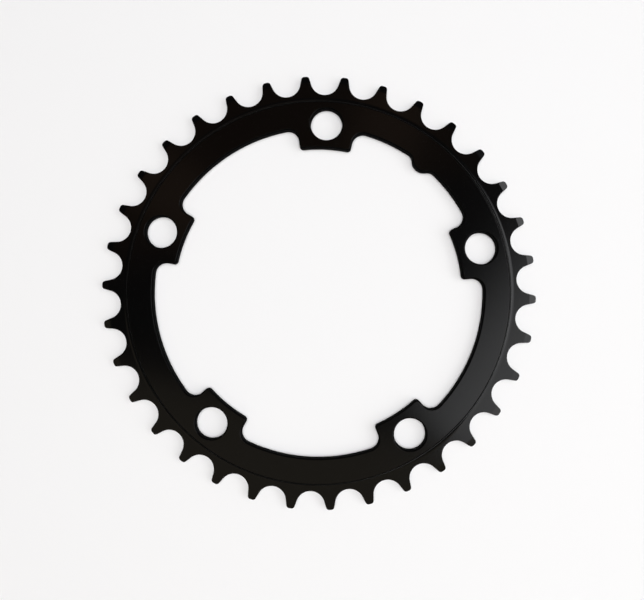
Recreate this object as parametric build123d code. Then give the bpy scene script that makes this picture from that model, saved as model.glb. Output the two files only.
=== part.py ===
from build123d import *
import math
import os

# A flat chainring for a bicycle crank: a toothed ring with five bolt lugs and one alignment tab.
# Millimetres. The ring lies on its back face at z = 0, with its axis on Z and the tab on +Y.

# Chain and teeth
chain_pitch = 12.7
roller_diameter = 7.75
bolt_to_root = 9.75         # from the bolt circle out to the root circle, to the nearest whole tooth
root_clearance = 0.2        # the root circle lies this far below a seated roller
seat_radius = 4.75          # the round bottom of a tooth gap
flank_angle = 12.5          # between a straight flank and the middle line of its tooth
addendum = 2.2              # tooth height above the pitch circle
tip_corner = 1.0            # rounding of a tooth's two tip corners, seen along the axis
most_rounded = 0.45         # no corner's rounding is more than this share of the tip's width

# Section through body and teeth
body_thickness = 3.5
tooth_thickness = 2.0
tip_thickness = 1.05
tip_bevel = 2.2             # the teeth thin out over this last part of their height
tooth_band = 0.95           # flat band between the root circle and the foot of the shoulder
shoulder_run = 1.6          # radial width of the hollow step from the body down to the tooth band
shoulder_cuts = 4           # straight cuts along an arc that the hollow is turned in
edge_break = 0.4            # chamfer on the body's inner edges, around the bolt holes too

# Bolt lugs, with sides that point at the axis
lug_count = 5
bolt_circle = 110.0
bolt_hole = 10.4
lug_end_margin = 7.7        # from the bolt circle in to the ends of the lugs
lug_width = 16.5            # across the end of a lug
lug_corner = 1.2            # rounding of a lug's two end corners
lug_fillet = 3.6            # rounding where a lug's sides meet the inner rim
rim_width = 9.7             # from the foot of the shoulder in to the inner rim between the lugs

# Alignment tab on the inner rim, midway between two lugs
tab_height = 2.55
tab_nose = 4.0
tab_fillet = 3.0

# Worked out from the sizes above; the ring has as many teeth as its bolt circle needs, which is 34 here
root_depth = roller_diameter / 2 + root_clearance
tooth_count = round(math.pi / math.asin(chain_pitch / 2 / (bolt_circle / 2 + bolt_to_root + root_depth)))
pitch_angle = 360 / tooth_count
pitch_radius = chain_pitch / 2 / math.sin(math.radians(pitch_angle / 2))
tip_radius = pitch_radius + addendum
root_radius = pitch_radius - root_depth
shoulder_foot = root_radius - tooth_band
rim_radius = shoulder_foot - rim_width
lug_end_radius = bolt_circle / 2 - lug_end_margin
lug_places = [Rot(0, 0, 90 + (i + 0.5) * 360 / lug_count) for i in range(lug_count)]
overshoot = 1.0             # how far a cutting shape runs past what it cuts


# One tooth gap, with its middle line on +X: a round seat that runs smoothly into two straight flanks
def tooth_gap():
    opening = math.radians(flank_angle + pitch_angle / 2)
    tangent_x = root_radius + seat_radius - seat_radius * math.sin(opening)
    tangent_y = seat_radius * math.cos(opening)
    mouth_x = tip_radius + overshoot
    mouth_y = tangent_y + (mouth_x - tangent_x) * math.tan(opening)
    seat = ThreePointArc((tangent_x, -tangent_y), (root_radius, 0), (tangent_x, tangent_y))
    mouth = Polyline((tangent_x, tangent_y), (mouth_x, mouth_y), (mouth_x, -mouth_y), (tangent_x, -tangent_y))
    return make_face(Curve() + [seat, mouth])


# The toothed outer edge, turned so that one tooth stands on +Y over the tab
def tooth_outline():
    gap = tooth_gap()
    outline = Circle(tip_radius) - [Rot(0, 0, i * pitch_angle) * gap for i in range(tooth_count)]
    tip_corners = outline.vertices().group_by(SortBy.DISTANCE)[-1]
    tip_land = outline.edges().group_by(SortBy.DISTANCE)[-1][0].length
    outline = fillet(tip_corners, min(tip_corner, most_rounded * tip_land))
    return Rot(0, 0, 90 + pitch_angle / 2) * outline


# One bolt lug on +X, as a sector between its end and a circle outside the rim
def bolt_lug():
    side_angle = math.asin(lug_width / 2 / lug_end_radius)
    base_x = rim_radius + overshoot
    base_y = base_x * math.tan(side_angle)
    wedge = make_face(Polyline((0, 0), (base_x, base_y), (base_x, -base_y), close=True))
    return wedge - Circle(lug_end_radius)


# The opening inside the ring: a round window, less the lugs and the tab that reach in from its rim
def inner_window():
    lug = bolt_lug()
    window = lug_places[0] * Circle(rim_radius) - [place * lug for place in lug_places]
    # Offsetting in and back out rounds the feet of the lugs, and out and back in rounds their ends
    window = offset(offset(window, -lug_fillet), lug_fillet)
    window = offset(offset(window, lug_corner), -lug_corner)
    window -= Pos(0, rim_radius - tab_height + tab_nose) * Circle(tab_nose)
    return fillet(window.vertices().sort_by(Axis.Y)[-2:], tab_fillet)


# The disc before its outline is cut: thick body, hollow shoulders, thin tooth band and bevelled rim
def turned_blank():
    middle = body_thickness / 2
    tooth_top = middle + tooth_thickness / 2
    bevel_start = tip_radius - tip_bevel
    blank_radius = tip_radius + overshoot
    bevel_slope = (tooth_thickness - tip_thickness) / 2 / tip_bevel
    blank_top = tooth_top - bevel_slope * (blank_radius - bevel_start)
    face_edge = shoulder_foot - shoulder_run
    body = Polyline((0, middle), (0, body_thickness), (face_edge, body_thickness))
    hollow = TangentArc((shoulder_foot, tooth_top), (face_edge, body_thickness), tangent=(-1, 0))
    shoulder = Polyline(*[hollow @ (i / shoulder_cuts) for i in range(shoulder_cuts + 1)])
    teeth = Polyline(
        (shoulder_foot, tooth_top),
        (bevel_start, tooth_top),
        (blank_radius, blank_top),
        (blank_radius, middle),
        (0, middle),
    )
    upper_half = revolve(Plane.XZ * make_face(Curve() + [body, shoulder, teeth]), Axis.Z)
    return upper_half + mirror(upper_half, Plane.XY.offset(middle))


# The outline is cut through the blank, and the body's inner edges are broken on both faces
def chainring():
    hole = Pos(bolt_circle / 2, 0) * Circle(bolt_hole / 2)
    outline = tooth_outline() - inner_window() - [place * hole for place in lug_places]
    ring = turned_blank() & extrude(outline, body_thickness)
    flat_faces = ring.faces().filter_by(Plane.XY).sort_by(Axis.Z)
    inner_wires = flat_faces[0].inner_wires() + flat_faces[-1].inner_wires()
    return chamfer(inner_wires.edges(), edge_break)


os.makedirs("parts", exist_ok=True)
export_step(chainring(), "parts/chainring.step")
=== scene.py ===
import math
import bpy
from mathutils import Matrix, Vector

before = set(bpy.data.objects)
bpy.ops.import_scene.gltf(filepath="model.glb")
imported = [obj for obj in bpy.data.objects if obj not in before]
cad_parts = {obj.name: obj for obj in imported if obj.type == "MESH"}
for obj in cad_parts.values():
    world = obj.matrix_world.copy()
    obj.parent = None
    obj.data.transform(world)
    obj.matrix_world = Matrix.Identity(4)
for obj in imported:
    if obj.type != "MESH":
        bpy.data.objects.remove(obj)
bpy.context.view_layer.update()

scene = bpy.context.scene
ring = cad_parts["chainring"]
mm = 0.001
print("frame loaded:", sorted(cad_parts))


# an sRGB hex value as linear red, green, blue and alpha
def hexToLinear(code):
    parts = [int(code[start:start + 2], 16) / 255 for start in (1, 3, 5)]
    linear = [part / 12.92 if part <= 0.04045 else ((part + 0.055) / 1.055) ** 2.4 for part in parts]
    return linear + [1.0]


# one node with its settings and its incoming links: a link is written as (node, output name),
# and an input as its name with _ for spaces, or as i and its number where names repeat
def addNode(tree, kind, settings=None, **inputs):
    node = tree.nodes.new(kind)
    for name, value in (settings or {}).items():
        setattr(node, name, value)
    for name, value in inputs.items():
        byNumber = name[0] == "i" and name[1:].isdigit()
        socket = node.inputs[int(name[1:]) if byNumber else name.replace("_", " ")]
        if isinstance(value, tuple) and isinstance(value[0], bpy.types.Node):
            tree.links.new(value[0].outputs[value[1]], socket)
        else:
            socket.default_value = value
    return node


def newMaterial(name):
    material = bpy.data.materials.new(name)
    material.use_nodes = True
    material.node_tree.nodes.clear()
    return material, material.node_tree


smooth = {"interpolation_type": "SMOOTHSTEP"}     # for a range that eases in and out

# Black anodised aluminium: the plate's faces are ground smooth, then dyed and sealed. The dye sits in a
# clear oxide skin, so the eye gets a deep black under a glassy sheen, not a metal's reflection.
# Walls and steep edges are left as cut. Their skin is matt and mirrors little, so they look blacker.
# Tumbling takes the sharpness off the edges before the dye, so a face turns softly into a wall.
anodised = {
    "dye": "#050505",
    "dyeThin": "#070707",       # where the dye took a little less
    "dyePatch": 9.0 * mm,       # size of the cloudy variation in the dye
    "dyeDetail": 3.0,
    "metallic": 0.0,            # the oxide hides the metal under it
    "ior": 1.5,                 # clear sealed oxide
    "faceRoughness": 0.14,
    "cutRoughness": 0.95,
    "faceMirror": 0.5,          # specular level, 0.5 is what the index of refraction gives
    "cutMirror": 0.04,
    "cutFrom": 0.85,            # the normal's Z: a smooth face above this, cut metal below the next
    "cutTo": 0.75,
    "edgeRadius": 0.15 * mm,    # tumbled edges, and the shoulder's cuts run into one hollow
    "edgeSamples": 8,
    "grain": 0.22 * mm,         # the real grain is about 0.03 mm, drawn coarser so that it shows
    "grainDetail": 2.0,
    "grainRange": (0.3, 0.7),   # the noise seldom goes past these
    "grainDepth": 0.0004 * mm,
    "grainRoughness": 0.05,
}


def anodisedMaterial(look):
    material, tree = newMaterial("blackAnodisedAluminium")
    place = addNode(tree, "ShaderNodeTexCoord")
    tumbled = addNode(tree, "ShaderNodeBevel", {"samples": look["edgeSamples"]}, Radius=look["edgeRadius"])
    # how squarely the surface faces up or down
    normalParts = addNode(tree, "ShaderNodeSeparateXYZ", Vector=(tumbled, "Normal"))
    facing = addNode(tree, "ShaderNodeMath", {"operation": "ABSOLUTE"}, i0=(normalParts, "Z"))
    cut = addNode(tree, "ShaderNodeMapRange", smooth, Value=(facing, "Value"),
                  From_Min=look["cutFrom"], From_Max=look["cutTo"])
    patches = addNode(tree, "ShaderNodeTexNoise", Vector=(place, "Object"),
                      Scale=1 / look["dyePatch"], Detail=look["dyeDetail"])
    grain = addNode(tree, "ShaderNodeTexNoise", Vector=(place, "Object"),
                    Scale=1 / look["grain"], Detail=look["grainDetail"])
    dye = addNode(tree, "ShaderNodeMix", {"data_type": "RGBA"}, i0=(patches, "Fac"),
                  i6=hexToLinear(look["dye"]), i7=hexToLinear(look["dyeThin"]))
    base = addNode(tree, "ShaderNodeMapRange", Value=(cut, "Result"),
                   To_Min=look["faceRoughness"], To_Max=look["cutRoughness"])
    speckle = addNode(tree, "ShaderNodeMapRange", Value=(grain, "Fac"),
                      From_Min=look["grainRange"][0], From_Max=look["grainRange"][1],
                      To_Min=-look["grainRoughness"] / 2, To_Max=look["grainRoughness"] / 2)
    rough = addNode(tree, "ShaderNodeMath", {"operation": "ADD"},
                    i0=(base, "Result"), i1=(speckle, "Result"))
    mirror = addNode(tree, "ShaderNodeMapRange", Value=(cut, "Result"),
                     To_Min=look["faceMirror"], To_Max=look["cutMirror"])
    relief = addNode(tree, "ShaderNodeBump", Height=(grain, "Fac"), Normal=(tumbled, "Normal"),
                     Distance=look["grainDepth"])
    skin = addNode(tree, "ShaderNodeBsdfPrincipled", Base_Color=(dye, "Result"),
                   Roughness=(rough, "Value"), Specular_IOR_Level=(mirror, "Result"),
                   Normal=(relief, "Normal"), Metallic=look["metallic"], IOR=look["ior"])
    addNode(tree, "ShaderNodeOutputMaterial", Surface=(skin, "BSDF"))
    return material


ring.material_slots[0].material = anodisedMaterial(anodised)
print("ring finished in black anodising")

# A round sweep of matt paper: white under the ring and up the wall behind the key. Up the rest of the wall,
# away from the key, grey is painted into the paper's colour as painted shade, so that the shoulder away
# from the key mirrors something dull.
sweep = {
    "paper": "#f5f5f4",
    # painted shade: the grey that the wall away from the key is painted, standing in for the room's shade
    # there
    "paintedShade": "#7a7a78",
    "paintedShadeHeight": (0.02, 0.25),    # metres up the wall over which the painted shade comes in
    "whiteAngle": 20,               # degrees from +X to the middle of the white part
    "whiteReach": (40, 75),         # degrees to each side: white up to the first, painted shade from the second
    "flatRadius": 1.8,              # metres, as are the next two
    "bendRadius": 0.4,
    "wallTop": 0.78,
    "bendSteps": 10,
    "spokes": 96,
}


def paperMaterial(look):
    material, tree = newMaterial("paperWithPaintedShade")
    place = addNode(tree, "ShaderNodeTexCoord")
    parts = addNode(tree, "ShaderNodeSeparateXYZ", Vector=(place, "Object"))
    upWall = addNode(tree, "ShaderNodeMapRange", smooth, Value=(parts, "Z"),
                     From_Min=look["paintedShadeHeight"][0], From_Max=look["paintedShadeHeight"][1])
    bearing = math.radians(look["whiteAngle"])
    outward = addNode(tree, "ShaderNodeVectorMath", {"operation": "NORMALIZE"}, i0=(place, "Object"))
    aside = addNode(tree, "ShaderNodeVectorMath", {"operation": "DOT_PRODUCT"}, i0=(outward, "Vector"),
                    i1=(math.cos(bearing), math.sin(bearing), 0))
    near, far = (math.cos(math.radians(reach)) for reach in look["whiteReach"])
    away = addNode(tree, "ShaderNodeMapRange", smooth, Value=(aside, "Value"), From_Min=near, From_Max=far)
    # painted shade: the paper's colour turns grey up the wall and away from the key
    paintedShadeShare = addNode(tree, "ShaderNodeMath", {"operation": "MULTIPLY"},
                     i0=(upWall, "Result"), i1=(away, "Result"))
    colour = addNode(tree, "ShaderNodeMix", {"data_type": "RGBA"}, i0=(paintedShadeShare, "Value"),
                     i6=hexToLinear(look["paper"]), i7=hexToLinear(look["paintedShade"]))
    paper = addNode(tree, "ShaderNodeBsdfDiffuse", Color=(colour, "Result"))
    addNode(tree, "ShaderNodeOutputMaterial", Surface=(paper, "BSDF"))
    return material


def paperSweep(look):
    flat = look["flatRadius"]
    bend = look["bendRadius"]
    spokes = look["spokes"]
    profile = [(flat, 0.0)]
    for step in range(1, look["bendSteps"] + 1):
        lean = math.radians(90 * step / look["bendSteps"])
        profile.append((flat + bend * math.sin(lean), bend - bend * math.cos(lean)))
    profile.append((flat + bend, look["wallTop"]))
    points = [(0.0, 0.0, 0.0)]
    for radius, height in profile:
        for spoke in range(spokes):
            bearing = math.radians(360 * spoke / spokes)
            points.append((radius * math.cos(bearing), radius * math.sin(bearing), height))
    faces = [(0, 1 + spoke, 1 + (spoke + 1) % spokes) for spoke in range(spokes)]
    for first in range(1, len(points) - spokes, spokes):
        for spoke in range(spokes):
            after = (spoke + 1) % spokes
            faces.append((first + spoke, first + spokes + spoke, first + spokes + after, first + after))
    mesh = bpy.data.meshes.new("paperSweep")
    mesh.from_pydata(points, [], faces)
    mesh.polygons.foreach_set("use_smooth", [True] * len(mesh.polygons))
    mesh.materials.append(paperMaterial(look))
    piece = bpy.data.objects.new("paperSweep", mesh)
    scene.collection.objects.link(piece)
    return piece


paperSweep(sweep)
print("sweep laid")

# The camera looks almost straight down the axis, from close by.
cameraSet = {
    "place": (8.10, -1.52, 216.61),     # mm
    "aim": (2.71, -1.12, 1.75),         # mm, the point in the ring's mid plane at the middle of the picture
    "upAngle": 129.01,                  # degrees from +X, the way that the picture's top points
    "lens": 36.63,
    "sensor": 36.0,
    "clipStart": 10.0 * mm,
}


def placeCamera(look):
    data = bpy.data.cameras.new("photoCamera")
    data.lens = look["lens"]
    data.sensor_width = look["sensor"]
    data.clip_start = look["clipStart"]
    place = Vector(look["place"]) * mm
    back = (place - Vector(look["aim"]) * mm).normalized()
    bearing = math.radians(look["upAngle"])
    right = Vector((math.cos(bearing), math.sin(bearing), 0)).cross(back).normalized()
    up = back.cross(right)
    turn = Matrix((right, up, back)).transposed()
    camera = bpy.data.objects.new("photoCamera", data)
    camera.matrix_world = Matrix.Translation(place) @ turn.to_4x4()
    scene.collection.objects.link(camera)
    scene.camera = camera


placeCamera(cameraSet)
print("camera placed")

# Soft studio light. A panel's level is its brightness, where 1 is white. Its angle is turned from +X, in
# degrees, and along and across give where its edges lie from the ring's axis, in metres.
# The key is a softbox whose near edge fades out over the first part of its length, and whose level rises
# across it, by the riseLevels. The fill only lifts the floor and the dye to a plain level, so it is hidden
# from reflections. The back panel is dim, and gives low views from the key's side something to mirror.
# The three glows are faint too: a warm part of the room, away from the key.
lamps = {
    "keySoftbox": {"angle": 1, "along": (0.135, 2.3), "across": (-0.054, 1.03), "height": 0.9,
                   "level": 1.18, "colour": "#fcfdff",
                   "fade": (0.0, 0.076), "rise": (0.26, 0.63), "riseLevels": (1.0, 1.65)},
    "lowPanel": {"angle": -65, "along": (0.195, 2.4), "across": (-1.0, 0.9), "height": 0.95,
                 "level": 0.21, "colour": "#ffefd0"},
    "topFill": {"angle": 0, "along": (-0.3, 0.3), "across": (-0.3, 0.3), "height": 1.3,
                "level": 12.0, "colour": "#fcfcff", "mirrored": False},
    "backPanel": {"angle": 165, "along": (1.15, 2.2), "across": (-1.9, 1.9), "height": 0.95,
                  "level": 0.11, "colour": "#ffe8d0"},
    "roomGlow": {"angle": 144, "along": (0.165, 0.5), "across": (-0.4, 0.4), "height": 0.9,
                 "level": 0.04, "colour": "#ffaa38"},
    "glowRight": {"angle": 111, "along": (0.23, 0.42), "across": (-0.055, 0.055), "height": 0.88,
                  "level": 0.11, "colour": "#ffd6b3"},
    "glowLeft": {"angle": 183, "along": (0.23, 0.42), "across": (-0.055, 0.055), "height": 0.88,
                 "level": 0.12, "colour": "#ffd6b3"},
}
room = {"colour": "#131115"}     # dim, near black


# fade and rise are given in shares of the panel's length and width
def gradeLamp(data, look):
    data.use_nodes = True
    tree = data.node_tree
    tree.nodes.clear()
    spot = addNode(tree, "ShaderNodeNewGeometry")
    parts = addNode(tree, "ShaderNodeSeparateXYZ", Vector=(spot, "Parametric"))
    fade = addNode(tree, "ShaderNodeMapRange", smooth, Value=(parts, "X"),
                   From_Min=look["fade"][0], From_Max=look["fade"][1])
    rise = addNode(tree, "ShaderNodeMapRange", smooth, Value=(parts, "Y"),
                   From_Min=look["rise"][0], From_Max=look["rise"][1],
                   To_Min=look["riseLevels"][0], To_Max=look["riseLevels"][1])
    glow = addNode(tree, "ShaderNodeMath", {"operation": "MULTIPLY"},
                   i0=(fade, "Result"), i1=(rise, "Result"))
    front = addNode(tree, "ShaderNodeEmission", Strength=(glow, "Value"))
    addNode(tree, "ShaderNodeOutputLight", Surface=(front, "Emission"))


def hangLamp(name, look):
    data = bpy.data.lights.new(name, "AREA")
    data.shape = "RECTANGLE"
    data.size = look["along"][1] - look["along"][0]
    data.size_y = look["across"][1] - look["across"][0]
    data.energy = look["level"] * math.pi * data.size * data.size_y     # watts for that brightness
    data.color = hexToLinear(look["colour"])[:3]
    if "fade" in look:
        gradeLamp(data, look)
    lamp = bpy.data.objects.new(name, data)
    turn = Matrix.Rotation(math.radians(look["angle"]), 4, "Z")
    middle = Vector((sum(look["along"]) / 2, sum(look["across"]) / 2, look["height"]))
    lamp.matrix_world = turn @ Matrix.Translation(middle)
    lamp.visible_camera = False
    lamp.visible_glossy = look.get("mirrored", True)
    scene.collection.objects.link(lamp)


for lampName, lampLook in lamps.items():
    hangLamp(lampName, lampLook)

world = bpy.data.worlds.new("dimRoom")
world.use_nodes = True
world.node_tree.nodes["Background"].inputs["Color"].default_value = hexToLinear(room["colour"])
scene.world = world
scene.view_settings.view_transform = "Standard"
print("lamps hung")
